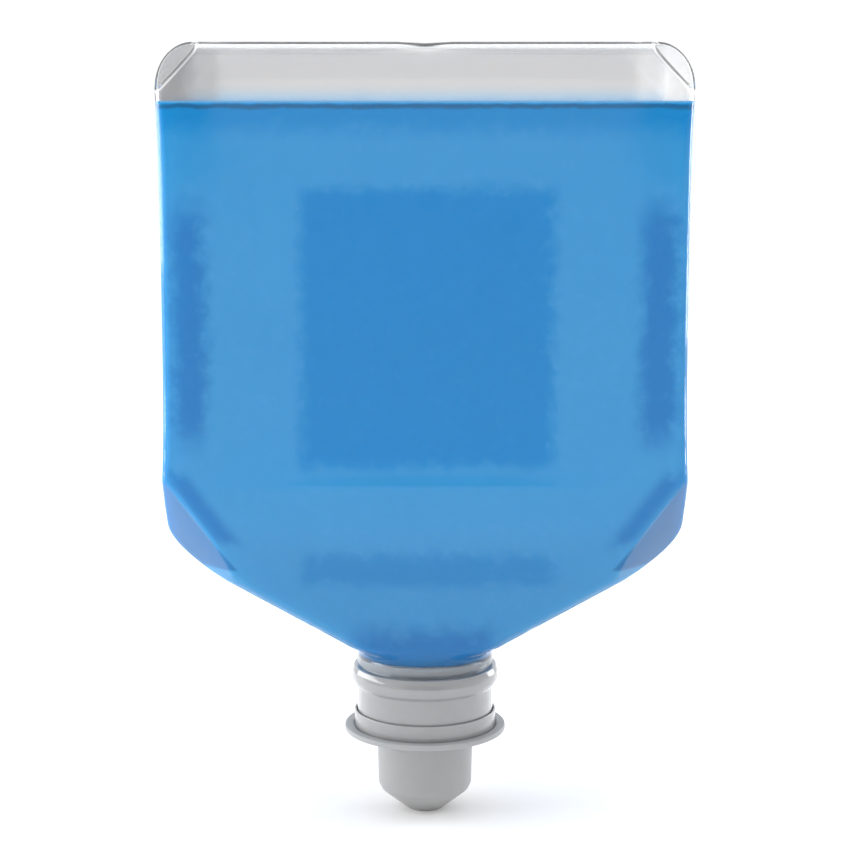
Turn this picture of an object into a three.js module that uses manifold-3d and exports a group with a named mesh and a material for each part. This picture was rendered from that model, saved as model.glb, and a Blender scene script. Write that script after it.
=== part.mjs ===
// Hand soap refill pack: a see-through bottle of liquid soap that hangs nozzle down, with a foam pump fixed
// in its neck. Millimetres, +Z up, front towards -Y. The origin is in the middle of the neck, where the
// dispenser's cradle holds the pack.

import * as THREE from 'three';
import { mergeVertices } from 'three/addons/utils/BufferGeometryUtils.js';
import Module from 'manifold-3d';

const wasm = await Module();
wasm.setup();

// ---- Driving dimensions ----

// Bottle body
const HALF_WIDTH = 71;
const HALF_DEPTH = 34;
const BASE_Z = 174.3; // the bottle's base, on top as it hangs
const WALL = 1.1;
const WAIST = 0.95; // how far the sides draw in between their ends
const FACE_DISH = 1.3; // how far the front and back draw in at their middle
const SHOULDER_Z = 38.7; // where the sides would meet the sloping shoulders
const SHOULDER_SLOPE = 0.628; // fall for each millimetre towards the neck
const LEAN_Z = 39.4; // where the front and back start to lean in to the neck
const LEAN = 0.42; // how far they lean in for each millimetre down
const NECK_ROUND_Z = 5.3; // where the level sections start to turn round
const NECK_EVEN_Z = 8; // where their points start to spread evenly, as the neck's do

// Bottle edges
const BASE_SIDE_RADIUS = 9.5;
const BASE_FRONT_RADIUS = 3.6;
const EDGE_RADIUS = 2.5;
const FACET_EDGE_RADIUS = 1.3;
const SHOULDER_EDGE_RADIUS = 7.7;
const SHOULDER_BLEND = 8.6;

// Corner facets: planes that cut off each corner, by where they meet the corner's three edges
const BASE_FACET = { startZ: 160.5, reachX: 12.8, reachY: 18, reachZ: 13.8 };
const SHOULDER_FACET = { startZ: 60, reachX: 13.4, reachY: 14.7, reachZ: 17.6 };

// Neck and what it holds
const NECK_R = 19.5;
const NECK_START_Z = 1.5;
const FINISH_TOP_Z = -0.9; // where the neck steps in under the closure
const FINISH_R = 18.6;
const SNAP_RING_R = 19.3;
const SNAP_RING_TOP_Z = -3;
const SNAP_RING_BOTTOM_Z = -4.8;
const NECK_END_Z = -6;
const NECK_BORE_R = 17.2;
const SOAP_LEVEL_Z = 159;
const SOAP_GAP = 0.3;

// Pump housing
const BEAD_R = 21.25;
const BEAD_CORE = { r: 19.95, z: -2.9, height: 1.7 }; // the middle of the bead's round upper part
const NECK_GAP = 0.25; // between the housing and the neck inside it
const SKIRT_R = 19.6;
const SKIRT_END_Z = -15.05; // just inside the collar, so that the collar can slide up over it
const AIR_BORE_R = 18.4;
const WEB_TOP_Z = -7.1;
const WEB_BOTTOM_Z = -8.3;
const PLUG_TOP_Z = 2.2;
const PLUG_R = 16.9;
const PLUG_BORE_R = 16.1;
const WEB_BORE_R = 6.4;

// Liquid cylinder
const CYLINDER_R = 6.2;
const CYLINDER_BORE_R = 5.2;
const CYLINDER_TOP_Z = 19;
const CYLINDER_END_Z = -9.2;
const CYLINDER_PLATE = 1.2; // thickness of its top
const CYLINDER_FOOT_R = 8.6;
const INLET_COUNT = 4;
const INLET_CIRCLE_R = 2.35;
const INLET_R = 0.65;
const VALVE_SHANK_R = 0.8;
const VALVE_KNOB_R = 1.4;
const VALVE_DISC_R = 3.4;

// Plunger
const FLANGE_R = 23.15;
const FLANGE_TOP_Z = -18.9;
const FLANGE_THICKNESS = 1.6;
const COLLAR_R = 20.35;
const COLLAR_BORE_R = 19.8;
const COLLAR_TOP_Z = -14.3;
const COLLAR_SEAT_Z = -19.3;
const CUP_R = 13.85;
const CUP_END_R = 13.45;
const CUP_WALL = 1;
const CUP_CONE_Z = -36.9;
const TIP_R = 5.3;
const TIP_Z = -44;
const OUTLET_R = 3.6;
const INNER_TUBE_R = 5.9;
const INNER_TUBE_BORE_R = 4.85;
const STEM_R = 2.9;
const STEM_BORE_R = 1.5;
const STEM_TOP_Z = 1.1;
const STEM_HEAD_R = 4.7;
const SOCKET_R = 4.6;
const SOCKET_BORE_R = 3.6;
const SOCKET_TOP_Z = -10.8;
const SOCKET_END_Z = -21;
const AIR_PISTON_TOP_Z = -13.4;
const AIR_PISTON_THICKNESS = 0.8;
const SLIDING_GAP = 0.08;
const INTAKE_COUNT = 6;
const INTAKE_CIRCLE_R = 11;
const AIR_PORT_COUNT = 4;
const AIR_PORT_R = 0.5;
const OUTLET_VALVE_TOP_Z = -15.1;
const INNER_TUBE_TOP_Z = -16.9;
const CARRIER_TOP_Z = -24;
const CARRIER_END_Z = -40;
const CARRIER_R = 4.7;
const CARRIER_BORE_R = 3.9;
const SCREEN_THICKNESS = 0.3;

// Return spring
const SPRING_R = 4.3;
const SPRING_WIRE_R = 0.35;
const SPRING_TURNS = 5;
const SPRING_TOP_Z = 17.3;
const SPRING_BOTTOM_Z = 1.6;

// Smoothness of the round pieces, in segments
const WIDE_SEGMENTS = 32;
const NARROW_SEGMENTS = 20;

// Points in the bottle's level sections: in each rounded corner, and across the walls between them
const BOTTLE_DETAIL = { steps: 2, acrossSide: 2, acrossFront: 4 };

// Heights of those sections below the base's round edge, closer together where the form turns
const SECTION_HEIGHTS = [
  160, 151, 134, 109, 84, 67, 60, 54, 48, 43.5, 40, 36.5, 33, 28, 22, 15, 10, 7.5, 5.5, 4, 2.5,
];
const BASE_EDGE_ANGLES = [90, 66, 45, 22, 0];

// ---- Materials ----

function plastic(name, color, roughness, opacity = 1) {
  const transparent = opacity < 1;
  return new THREE.MeshStandardMaterial({ name, color, roughness, metalness: 0, opacity, transparent });
}

const bottleWall = plastic('bottle_wall', 0xdfe6ea, 0.25, 0.4);
const soap = plastic('soap', 0x3c8ad0, 0.15);
const glossyPlastic = plastic('glossy_plastic', 0xc9cbcc, 0.18);
const mattPlastic = plastic('matt_plastic', 0xb9babb, 0.55);
const clearGasket = plastic('gasket', 0xe8e8e4, 0.6);
const whitePlastic = plastic('white_plastic', 0xeeeeec, 0.4);
const silicone = plastic('silicone', 0xd8dadb, 0.6);
const screenMesh = plastic('screen_mesh', 0xf2f2f0, 0.7);
const steelLook = { name: 'steel', color: 0xb8bbbe, roughness: 0.3, metalness: 1 };
const steel = new THREE.MeshStandardMaterial(steelLook);

// ---- Solids ----

function merged(geometry) {
  const bare = geometry.index ? geometry.toNonIndexed() : geometry;
  bare.deleteAttribute('normal');
  bare.deleteAttribute('uv');
  return mergeVertices(bare, 1e-4);
}

function toSolid(geometry) {
  const closed = merged(geometry);
  return new wasm.Manifold(new wasm.Mesh({
    numProp: 3,
    vertProperties: new Float32Array(closed.attributes.position.array),
    triVerts: new Uint32Array(closed.index.array),
  }));
}

function toGeometry(solid) {
  const mesh = solid.getMesh();
  const geometry = new THREE.BufferGeometry();
  geometry.setAttribute('position', new THREE.BufferAttribute(mesh.vertProperties, 3));
  geometry.setIndex(new THREE.BufferAttribute(mesh.triVerts, 1));
  return geometry;
}

// Turns a profile of [radius, z] points about Z. A profile that leaves the axis closes on itself.
function turned(profile, segments = WIDE_SEGMENTS) {
  const onAxis = profile[0][0] === 0 && profile.at(-1)[0] === 0;
  const points = profile.map(([r, z]) => new THREE.Vector2(r, z));
  if (!onAxis) points.push(points[0].clone());
  const area = points.reduce((sum, p, i) => sum + p.cross(points[(i + 1) % points.length]), 0);
  if (area < 0) points.reverse();
  const geometry = new THREE.LatheGeometry(points, segments);
  geometry.rotateX(Math.PI / 2);
  return merged(geometry);
}

// A drill of this radius along Z, from one height to another, at (x, y).
function drill(radius, x, y, fromZ, toZ) {
  const geometry = new THREE.CylinderGeometry(radius, radius, toZ - fromZ, 12);
  geometry.rotateX(Math.PI / 2);
  geometry.translate(x, y, (fromZ + toZ) / 2);
  return toSolid(geometry);
}

// Cuts count round holes along Z, evenly spread on a circle.
function withHoles(geometry, count, circleR, holeR, fromZ, toZ) {
  let solid = toSolid(geometry);
  for (let i = 0; i < count; i++) {
    const turn = (2 * Math.PI * (i + 0.5)) / count;
    solid = solid.subtract(drill(holeR, circleR * Math.cos(turn), circleR * Math.sin(turn), fromZ, toZ));
  }
  return toGeometry(solid);
}

// ---- Bottle form ----

const clamp01 = (value) => Math.min(Math.max(value, 0), 1);
const mix = (from, to, share) => from + (to - from) * share;

function smoothStep(from, to, value) {
  const t = clamp01((value - from) / (to - from));
  return t * t * (3 - 2 * t);
}

// The lesser (or, with a negative blend, the greater) of two values, rounded where they cross.
function blended(p, q, blend) {
  const overlap = Math.max(Math.abs(blend) - Math.abs(p - q), 0) / Math.abs(blend);
  const extreme = blend > 0 ? Math.min(p, q) : Math.max(p, q);
  return extreme - (blend * overlap * overlap) / 4;
}

// 1 in the middle of the body's height and 0 at the facets.
function midBody(z) {
  const middle = (BASE_FACET.startZ + SHOULDER_FACET.startZ) / 2;
  const reach = (BASE_FACET.startZ - SHOULDER_FACET.startZ) / 2 + 4;
  return 1 - Math.min(Math.abs((z - middle) / reach), 1) ** 4;
}

// A wall's distance from the middle plane at height z, drawn in by a round edge at the base.
function baseRounded(distance, radius, z, inset) {
  const past = z - (BASE_Z - inset - radius);
  return past <= 0 ? distance : distance - radius + Math.sqrt(Math.max(radius * radius - past * past, 0));
}

function halfWidthAt(z, inset) {
  const side = HALF_WIDTH - inset - WAIST * midBody(z);
  const slopeInset = inset * Math.hypot(1, 1 / SHOULDER_SLOPE);
  const shoulder = HALF_WIDTH + (z - SHOULDER_Z) / SHOULDER_SLOPE - slopeInset;
  const rounded = baseRounded(side, BASE_SIDE_RADIUS - inset, z, inset);
  return blended(blended(rounded, shoulder, SHOULDER_BLEND), NECK_R - inset, -3);
}

function halfDepthAt(z, inset) {
  const leaning = HALF_DEPTH + (z - LEAN_Z) * LEAN - inset * Math.hypot(1, LEAN);
  const rounded = baseRounded(HALF_DEPTH - inset, BASE_FRONT_RADIUS - inset, z, inset);
  return blended(blended(rounded, leaning, 3), NECK_R - inset, -3);
}

function cornerRadiusAt(z, inset) {
  const towardsNeck = smoothStep(NECK_ROUND_Z, NECK_START_Z, z);
  const shoulderShare = smoothStep(SHOULDER_FACET.startZ, LEAN_Z, z);
  const body = mix(EDGE_RADIUS, SHOULDER_EDGE_RADIUS, shoulderShare);
  return Math.max(mix(body, NECK_R, towardsNeck) - inset, 0.6);
}

// How far a facet's plane cuts into the section's corner at height z, along X and along Y.
function facetCut(facet, towardsEnd, z, halfWidth, halfDepth, inset) {
  const deep = (towardsEnd * (z - facet.startZ)) / facet.reachZ;
  const shift = inset * Math.hypot(1 / facet.reachX, 1 / facet.reachY, 1 / facet.reachZ);
  const cut = deep + shift;
  const lostX = HALF_WIDTH - halfWidth;
  const lostY = HALF_DEPTH - halfDepth;
  return [
    facet.reachX * (cut - lostY / facet.reachY) - lostX,
    facet.reachY * (cut - lostX / facet.reachX) - lostY,
  ];
}

// An arc of steps + 1 points that rounds the corner at point b between a and c.
function roundedCorner(a, b, c, radius, steps) {
  const toA = a.clone().sub(b).normalize();
  const toC = c.clone().sub(b).normalize();
  const half = toA.angleTo(toC) / 2;
  const middle = toA.clone().add(toC).normalize();
  const centre = b.clone().addScaledVector(middle, radius / Math.sin(half));
  const start = b.clone().addScaledVector(toA, radius / Math.tan(half)).sub(centre);
  const sweep = Math.PI - 2 * half;
  const points = [];
  for (let i = 0; i <= steps; i++) {
    points.push(start.clone().rotateAround(new THREE.Vector2(), (sweep * i) / steps).add(centre));
  }
  return points;
}

// What an octagon round a circle of radius 1 cuts off the corners of the square round it.
const OCTAGON_CUT = 2 - Math.SQRT2;

// One quarter of the bottle's level section, from the +X wall round to the +Y wall.
function quarterSection(z, inset, steps) {
  const a = halfWidthAt(z, inset);
  const b = halfDepthAt(z, inset);
  const wantedRadius = Math.min(cornerRadiusAt(z, inset), a, b);
  const atBase = z > (BASE_FACET.startZ + SHOULDER_FACET.startZ) / 2;
  const [facetX, facetY] = facetCut(atBase ? BASE_FACET : SHOULDER_FACET, atBase ? 1 : -1, z, a, b, inset);
  const crisp = smoothStep(OCTAGON_CUT * wantedRadius, 3 * EDGE_RADIUS, Math.min(facetX, facetY));
  const radius = mix(wantedRadius, Math.min(FACET_EDGE_RADIUS, wantedRadius), crisp);
  const cutX = Math.min(Math.max(facetX, OCTAGON_CUT * radius), a);
  const cutY = Math.min(Math.max(facetY, OCTAGON_CUT * radius), b);
  const onSide = new THREE.Vector2(a, b - cutY);
  const onFront = new THREE.Vector2(a - cutX, b);
  const room = Math.hypot(cutX, cutY) / 2;
  const sideTurn = Math.atan2(cutX, cutY);
  const sideRadius = Math.min(radius, room / Math.tan(sideTurn / 2));
  const frontRadius = Math.min(radius, room / Math.tan((Math.PI / 2 - sideTurn) / 2));
  return [
    ...roundedCorner(new THREE.Vector2(a, 0), onSide, onFront, sideRadius, steps),
    ...roundedCorner(onSide, onFront, new THREE.Vector2(0, b), frontRadius, steps),
  ];
}

// Mirrors a quarter section into the other three and fills the straight walls between them.
function wholeSection(z, inset, { steps, acrossSide, acrossFront }) {
  const quarter = quarterSection(z, inset, steps);
  const mirrored = (sx, sy) => quarter.map((p) => new THREE.Vector2(p.x * sx, p.y * sy));
  const quarters = [quarter, mirrored(-1, 1).reverse(), mirrored(-1, -1), mirrored(1, -1).reverse()];
  const ring = [];
  quarters.forEach((points, i) => {
    const next = quarters[(i + 1) % 4][0];
    const last = points.at(-1);
    const across = i % 2 === 0 ? acrossFront : acrossSide;
    ring.push(...points);
    for (let k = 1; k < across; k++) ring.push(last.clone().lerp(next, k / across));
  });
  const dish = FACE_DISH * midBody(z);
  const even = smoothStep(NECK_EVEN_Z, NECK_START_Z + 1, z);
  const circle = circleSection(NECK_R - inset, z, { steps, acrossSide, acrossFront });
  return ring.map((p, i) => {
    const onFace = Math.abs(p.y) > HALF_DEPTH - WALL - 2;
    const share = onFace ? 1 - Math.min(Math.abs(p.x / HALF_WIDTH) * 1.1, 1) ** 4 : 0;
    return new THREE.Vector3(p.x, p.y - Math.sign(p.y) * dish * share, z).lerp(circle[i], even);
  });
}

// A round section with as many points as the body's, even and in step with them.
function circleSection(radius, z, { steps, acrossSide, acrossFront }) {
  const count = 4 * (2 * steps + 1) + 2 * (acrossSide + acrossFront);
  return Array.from({ length: count }, (_, k) => {
    const turn = (2 * Math.PI * (k + acrossSide / 2)) / count;
    return new THREE.Vector3(radius * Math.cos(turn), radius * Math.sin(turn), z);
  });
}

// Heights of the bottle's sections from the base down to the neck.
function sectionHeights(inset) {
  const radius = BASE_SIDE_RADIUS - inset;
  const edgeStart = BASE_Z - BASE_SIDE_RADIUS;
  const rise = (angle) => radius * Math.sin(THREE.MathUtils.degToRad(angle));
  const edge = BASE_EDGE_ANGLES.map((angle) => edgeStart + rise(angle));
  return [...edge, ...SECTION_HEIGHTS.filter((z) => z < edgeStart - 1)];
}

// A closed skin over a stack of rings, with a flat cap on its first and last ring.
function loft(rings) {
  const count = rings[0].length;
  const last = (rings.length - 1) * count;
  const middle = (ring) => ring.reduce((sum, p) => sum.add(p), new THREE.Vector3()).divideScalar(count);
  const points = [...rings.flat(), middle(rings[0]), middle(rings.at(-1))];
  const index = [];
  for (let k = 0; k < count; k++) {
    const next = (k + 1) % count;
    index.push(points.length - 2, k, next);
    for (let upper = 0; upper < last; upper += count) {
      const lower = upper + count;
      index.push(upper + k, lower + k, lower + next, upper + k, lower + next, upper + next);
    }
    index.push(points.length - 1, last + next, last + k);
  }
  const geometry = new THREE.BufferGeometry().setFromPoints(points);
  geometry.setIndex(index);
  return geometry;
}

// The bottle's outer form runs down to the end of the neck finish, and its bore is taken out of it.
function bottleGeometry() {
  const outer = sectionHeights(0).map((z) => wholeSection(z, 0, BOTTLE_DETAIL));
  const finish = [
    [NECK_R, NECK_START_Z], [NECK_R, FINISH_TOP_Z], [FINISH_R, FINISH_TOP_Z], [FINISH_R, SNAP_RING_TOP_Z],
    [SNAP_RING_R, SNAP_RING_TOP_Z - 0.4], [SNAP_RING_R, SNAP_RING_BOTTOM_Z + 0.4],
    [FINISH_R, SNAP_RING_BOTTOM_Z], [FINISH_R, NECK_END_Z],
  ];
  outer.push(...finish.map(([r, z]) => circleSection(r, z, BOTTLE_DETAIL)));
  const inner = sectionHeights(WALL).slice(0, -1).map((z) => wholeSection(z, WALL, BOTTLE_DETAIL));
  const bore = [
    [NECK_R - 2 * WALL, NECK_START_Z + 1], [NECK_BORE_R, NECK_START_Z - 1], [NECK_BORE_R, NECK_END_Z - 1],
  ];
  inner.push(...bore.map(([r, z]) => circleSection(r, z, BOTTLE_DETAIL)));
  return toGeometry(toSolid(loft(outer)).subtract(toSolid(loft(inner))));
}

// The soap fills the bottle to its level, round the liquid cylinder and the housing's plug.
function soapGeometry() {
  const inset = WALL + SOAP_GAP;
  const below = sectionHeights(inset).filter((z) => z < SOAP_LEVEL_Z - 1 && z >= NECK_ROUND_Z);
  const heights = [SOAP_LEVEL_Z, ...below];
  const rings = heights.map((z) => wholeSection(z, inset, BOTTLE_DETAIL));
  const neck = [
    [NECK_BORE_R - SOAP_GAP, PLUG_TOP_Z + 5 * SOAP_GAP],
    [NECK_BORE_R - SOAP_GAP, PLUG_TOP_Z + SOAP_GAP],
    [PLUG_BORE_R - SOAP_GAP, PLUG_TOP_Z + SOAP_GAP],
    [PLUG_BORE_R - SOAP_GAP, WEB_TOP_Z + SOAP_GAP],
  ];
  rings.push(...neck.map(([r, z]) => circleSection(r, z, BOTTLE_DETAIL)));
  const chamberR = CYLINDER_R + SOAP_GAP;
  const chamberTop = CYLINDER_TOP_Z + SOAP_GAP;
  const knobR = VALVE_KNOB_R + SOAP_GAP;
  const chamber = turned([
    [0, WEB_TOP_Z - 1], [chamberR, WEB_TOP_Z - 1], [chamberR, chamberTop],
    [knobR, chamberTop], [knobR, chamberTop + 1.5], [0, chamberTop + 1.7],
  ], NARROW_SEGMENTS);
  return toGeometry(toSolid(loft(rings)).subtract(toSolid(chamber)));
}

// ---- Pump housing and what is fixed in it ----

// Points on the rolled bead's outer side, from its top edge round to the skirt.
function beadPoints() {
  const upper = [90, 62, 34, 6].map((angle) => {
    const turn = THREE.MathUtils.degToRad(angle);
    return [
      BEAD_CORE.r + (BEAD_R - BEAD_CORE.r) * Math.cos(turn),
      BEAD_CORE.z + BEAD_CORE.height * Math.sin(turn),
    ];
  });
  const lower = [[0, -4.1], [-0.15, -5.1], [-0.65, -6.1], [-1.25, -6.8]].map(([dr, z]) => [BEAD_R + dr, z]);
  return [...upper, ...lower, [SKIRT_R, -7.4]];
}

// The skirt's inner lip keeps the air piston in; its bore is the air cylinder.
function housingGeometry() {
  const neckBore = FINISH_R + NECK_GAP;
  const grooveR = SNAP_RING_R + NECK_GAP;
  const lipR = AIR_BORE_R - 0.35;
  const lipTop = SKIRT_END_Z + 0.45;
  return turned([
    [neckBore, FINISH_TOP_Z - NECK_GAP], ...beadPoints(),
    [SKIRT_R, SKIRT_END_Z + 0.3], [SKIRT_R - 0.3, SKIRT_END_Z], [lipR + 0.25, SKIRT_END_Z],
    [lipR, SKIRT_END_Z + 0.2], [AIR_BORE_R, lipTop],
    [AIR_BORE_R, WEB_BOTTOM_Z], [WEB_BORE_R, WEB_BOTTOM_Z], [WEB_BORE_R, WEB_TOP_Z],
    [PLUG_BORE_R, WEB_TOP_Z], [PLUG_BORE_R, PLUG_TOP_Z], [PLUG_R - 0.4, PLUG_TOP_Z],
    [PLUG_R, PLUG_TOP_Z - 0.5], [PLUG_R, WEB_TOP_Z], [neckBore, WEB_TOP_Z],
    [neckBore, SNAP_RING_BOTTOM_Z - 0.15], [grooveR, SNAP_RING_BOTTOM_Z + 0.2],
    [grooveR, SNAP_RING_TOP_Z - 0.2], [neckBore, SNAP_RING_TOP_Z + 0.15],
  ]);
}

function gasketGeometry() {
  const gap = 0.1;
  const innerR = NECK_BORE_R - gap;
  const outerR = FINISH_R + gap;
  return turned([
    [innerR, WEB_TOP_Z + gap], [outerR, WEB_TOP_Z + gap],
    [outerR, NECK_END_Z - gap], [innerR, NECK_END_Z - gap],
  ]);
}

function cylinderGeometry() {
  const plateBottom = CYLINDER_TOP_Z - CYLINDER_PLATE;
  const footTop = WEB_BOTTOM_Z - 0.25;
  const shankHole = VALVE_SHANK_R + 0.2;
  const tube = turned([
    [CYLINDER_BORE_R, CYLINDER_END_Z], [CYLINDER_FOOT_R, CYLINDER_END_Z], [CYLINDER_FOOT_R, footTop],
    [CYLINDER_R, footTop], [CYLINDER_R, CYLINDER_TOP_Z],
    [shankHole, CYLINDER_TOP_Z], [shankHole, plateBottom], [CYLINDER_BORE_R, plateBottom],
  ], NARROW_SEGMENTS);
  return withHoles(tube, INLET_COUNT, INLET_CIRCLE_R, INLET_R, plateBottom - 1, CYLINDER_TOP_Z + 1);
}

// An umbrella: its disc closes the inlet holes from below, and its knob holds it on the plate.
function inletValveGeometry() {
  const discTop = CYLINDER_TOP_Z - CYLINDER_PLATE - 0.1;
  const knobBottom = CYLINDER_TOP_Z + 0.15;
  return turned([
    [0, discTop - 0.8], [VALVE_DISC_R / 2, discTop - 0.7], [VALVE_DISC_R, discTop - 0.35],
    [VALVE_DISC_R, discTop - 0.1], [VALVE_SHANK_R, discTop], [VALVE_SHANK_R, knobBottom],
    [VALVE_KNOB_R, knobBottom + 0.25], [VALVE_KNOB_R - 0.5, knobBottom + 1.15], [0, knobBottom + 1.35],
  ], NARROW_SEGMENTS);
}

class Helix extends THREE.Curve {
  getPoint(t, target = new THREE.Vector3()) {
    const turn = 2 * Math.PI * SPRING_TURNS * t;
    const z = mix(SPRING_TOP_Z, SPRING_BOTTOM_Z, t);
    return target.set(SPRING_R * Math.cos(turn), SPRING_R * Math.sin(turn), z);
  }
}

function springGeometry() {
  const wire = new THREE.Shape().absarc(0, 0, SPRING_WIRE_R, 0, 2 * Math.PI);
  return merged(new THREE.ExtrudeGeometry(wire, {
    steps: SPRING_TURNS * 12, curveSegments: 3, bevelEnabled: false, extrudePath: new Helix(),
  }));
}

// ---- Plunger ----

function stemGeometry() {
  const headBottom = STEM_TOP_Z - 0.85;
  const socketCeiling = SOCKET_TOP_Z - 1;
  const stem = turned([
    [STEM_BORE_R, STEM_TOP_Z], [STEM_HEAD_R, STEM_TOP_Z], [STEM_HEAD_R, headBottom], [STEM_R, headBottom],
    [STEM_R, SOCKET_TOP_Z], [SOCKET_R, SOCKET_TOP_Z], [SOCKET_R, SOCKET_END_Z],
    [SOCKET_BORE_R, SOCKET_END_Z], [SOCKET_BORE_R, socketCeiling], [STEM_BORE_R, socketCeiling],
  ], NARROW_SEGMENTS);
  let solid = toSolid(stem);
  for (let i = 0; i < AIR_PORT_COUNT; i++) {
    const port = new THREE.CylinderGeometry(AIR_PORT_R, AIR_PORT_R, 3, 8);
    port.rotateZ(Math.PI / 2);
    port.translate(SOCKET_R, 0, SOCKET_TOP_Z - 1.7);
    port.rotateZ((2 * Math.PI * i) / AIR_PORT_COUNT);
    solid = solid.subtract(toSolid(port));
  }
  return toGeometry(solid);
}

// A sleeve under the stem's head, with one lip that seals upwards and one that seals downwards.
function liquidSealGeometry() {
  const lip = CYLINDER_BORE_R - SLIDING_GAP;
  const bore = STEM_R + 0.2;
  const bottom = -3.5;
  return turned([
    [bore, bottom], [lip - 0.6, bottom], [lip, bottom + 0.4], [STEM_HEAD_R, bottom / 2],
    [lip, -0.5], [lip - 0.2, 0], [bore, 0],
  ], NARROW_SEGMENTS);
}

// A disc on the stem's socket with a lip round its rim that seals both ways.
function airPistonGeometry() {
  const lip = AIR_BORE_R - SLIDING_GAP;
  const bore = SOCKET_R + 0.2;
  const bottom = AIR_PISTON_TOP_Z - AIR_PISTON_THICKNESS;
  const disc = turned([
    [bore, AIR_PISTON_TOP_Z], [lip - 1.5, AIR_PISTON_TOP_Z], [lip - 0.7, AIR_PISTON_TOP_Z + 0.75],
    [lip, AIR_PISTON_TOP_Z + 0.8], [lip - 0.25, AIR_PISTON_TOP_Z - 0.1], [lip, bottom - 0.3],
    [lip - 0.7, bottom - 0.35], [lip - 1.5, bottom], [bore, bottom],
  ]);
  return withHoles(disc, INTAKE_COUNT, INTAKE_CIRCLE_R, 1, bottom - 1, AIR_PISTON_TOP_Z + 1);
}

function intakeValveGeometry() {
  const seat = AIR_PISTON_TOP_Z + 0.1;
  const reach = 2;
  return turned([
    [INTAKE_CIRCLE_R - reach, seat], [INTAKE_CIRCLE_R + reach, seat],
    [INTAKE_CIRCLE_R + reach, seat + 0.35], [INTAKE_CIRCLE_R - reach + 0.6, seat + 0.45],
    [INTAKE_CIRCLE_R - reach, seat + 0.3],
  ], NARROW_SEGMENTS);
}

// A dome in the stem's socket that opens downwards.
function outletValveGeometry() {
  const rim = OUTLET_VALVE_TOP_Z;
  const rimR = SOCKET_BORE_R - 0.2;
  return turned([
    [0, rim - 2.4], [rimR - 2.2, rim - 2.1], [rimR - 1.2, rim - 1.1], [rimR, rim - 0.7],
    [rimR, rim], [rimR - 0.8, rim], [rimR - 1.8, rim - 0.9], [0, rim - 1.5],
  ], NARROW_SEGMENTS);
}

function screenCarrierGeometry() {
  return turned([
    [CARRIER_BORE_R, CARRIER_END_Z], [CARRIER_R, CARRIER_END_Z],
    [CARRIER_R, CARRIER_TOP_Z], [CARRIER_BORE_R, CARRIER_TOP_Z],
  ], NARROW_SEGMENTS);
}

function screenGeometry(bottom) {
  const top = bottom + SCREEN_THICKNESS;
  return turned([[0, bottom], [CARRIER_R, bottom], [CARRIER_R, top], [0, top]], NARROW_SEGMENTS);
}

function collarGeometry() {
  const foot = COLLAR_SEAT_Z + 0.05;
  return turned([
    [COLLAR_BORE_R, foot], [COLLAR_R, foot], [COLLAR_R, COLLAR_TOP_Z - 0.2], [COLLAR_R - 0.2, COLLAR_TOP_Z],
    [COLLAR_BORE_R + 0.1, COLLAR_TOP_Z], [COLLAR_BORE_R, COLLAR_TOP_Z - 0.1],
  ]);
}

function nozzleGeometry() {
  const flangeBottom = FLANGE_TOP_Z - FLANGE_THICKNESS;
  return turned([
    [OUTLET_R, TIP_Z], [TIP_R, TIP_Z], [TIP_R + 0.5, TIP_Z + 0.25], [CUP_END_R - 0.7, CUP_CONE_Z - 1.1],
    [CUP_END_R - 0.15, CUP_CONE_Z - 0.4], [CUP_END_R, CUP_CONE_Z + 0.4],
    [CUP_R, flangeBottom - 0.4], [CUP_R + 0.4, flangeBottom],
    [FLANGE_R - 0.2, flangeBottom], [FLANGE_R, flangeBottom + 0.2],
    [FLANGE_R, FLANGE_TOP_Z - 0.2], [FLANGE_R - 0.2, FLANGE_TOP_Z],
    [COLLAR_R + 0.3, FLANGE_TOP_Z], [COLLAR_R + 0.3, COLLAR_SEAT_Z], [CUP_R - CUP_WALL, COLLAR_SEAT_Z],
    [CUP_END_R - CUP_WALL, CUP_CONE_Z], [INNER_TUBE_R, TIP_Z + 1.9],
    [INNER_TUBE_R, INNER_TUBE_TOP_Z], [INNER_TUBE_BORE_R, INNER_TUBE_TOP_Z],
    [INNER_TUBE_BORE_R, TIP_Z + 2.3], [OUTLET_R, TIP_Z + 1.2],
  ]);
}

// ---- Assembly ----

const pack = new THREE.Group();
pack.name = 'hand_soap_refill_pack';

function add(parent, name, geometry, material) {
  const mesh = new THREE.Mesh(geometry, material);
  mesh.name = name;
  parent.add(mesh);
}

const fixedPieces = new THREE.Group();
add(fixedPieces, 'bottle', bottleGeometry(), bottleWall);
add(fixedPieces, 'liquid_soap', soapGeometry(), soap);
add(fixedPieces, 'neck_gasket', gasketGeometry(), clearGasket);
add(fixedPieces, 'pump_housing', housingGeometry(), glossyPlastic);
add(fixedPieces, 'liquid_cylinder', cylinderGeometry(), whitePlastic);
add(fixedPieces, 'inlet_valve', inletValveGeometry(), silicone);
add(fixedPieces, 'return_spring', springGeometry(), steel);
pack.add(fixedPieces);

const plunger = new THREE.Group();
add(plunger, 'piston_stem', stemGeometry(), whitePlastic);
add(plunger, 'liquid_piston_seal', liquidSealGeometry(), silicone);
add(plunger, 'air_piston', airPistonGeometry(), whitePlastic);
add(plunger, 'air_intake_valve', intakeValveGeometry(), silicone);
add(plunger, 'outlet_valve', outletValveGeometry(), silicone);
add(plunger, 'screen_carrier', screenCarrierGeometry(), whitePlastic);
add(plunger, 'upper_screen', screenGeometry(CARRIER_TOP_Z + 0.1), screenMesh);
add(plunger, 'lower_screen', screenGeometry(CARRIER_END_Z - 0.1 - SCREEN_THICKNESS), screenMesh);
add(plunger, 'guide_collar', collarGeometry(), glossyPlastic);
add(plunger, 'nozzle_cup', nozzleGeometry(), mattPlastic);
pack.add(plunger);

export default pack;
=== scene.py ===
"""Builds the looks of a hand soap refill pack: a see-through bottle of blue soap that hangs nozzle down."""

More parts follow.
